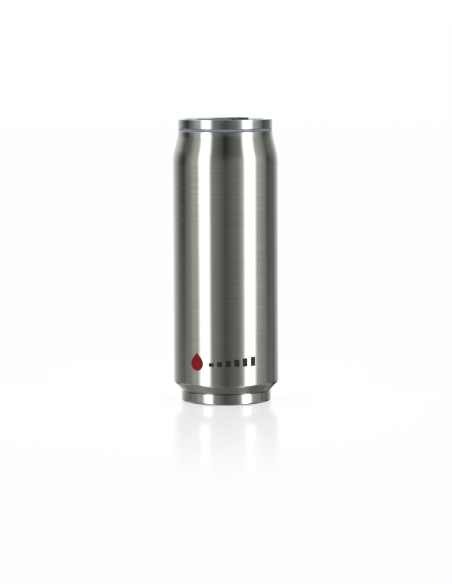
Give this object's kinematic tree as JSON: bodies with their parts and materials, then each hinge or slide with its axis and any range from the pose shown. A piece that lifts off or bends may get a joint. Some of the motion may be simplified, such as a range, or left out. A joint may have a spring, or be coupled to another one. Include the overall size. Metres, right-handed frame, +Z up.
{
  "type": "can-shaped insulated drink bottle",
  "caption": "Shut brushed-steel insulated drink bottle in the shape of a drink can: beveled foot, soft shoulder, seal line, and a lid with a pull tab and mouth stopper.",
  "frame": {"origin": "centre of the foot ring's flat underside, on the surface that the bottle stands on", "axes": "+Z up along the bottle's axis, -Y towards the side that carries the small printed gauge, +X to that side's right"},
  "size_m": [0.07, 0.07, 0.188],
  "materials": {
    "brushed_steel": "stainless steel with a fine brushing that runs round the axis",
    "pin_steel": "plain turned stainless steel",
    "seal_silicone": "satin blue-grey silicone",
    "deck_plastic": "fine-grained dark grey moulding",
    "tab_plastic": "satin black moulding with softened edges",
    "stopper_silicone": "satin dark grey silicone"
  },
  "bodies": {
    "root": {"shell": "brushed_steel", "base_cup": "brushed_steel", "seal_band": "seal_silicone", "lid_ring": "brushed_steel", "lid_deck": "deck_plastic", "pull_tab": "tab_plastic", "hinge_pin": "pin_steel", "mouth_stopper": "stopper_silicone"}
  },
  "joints": []
}
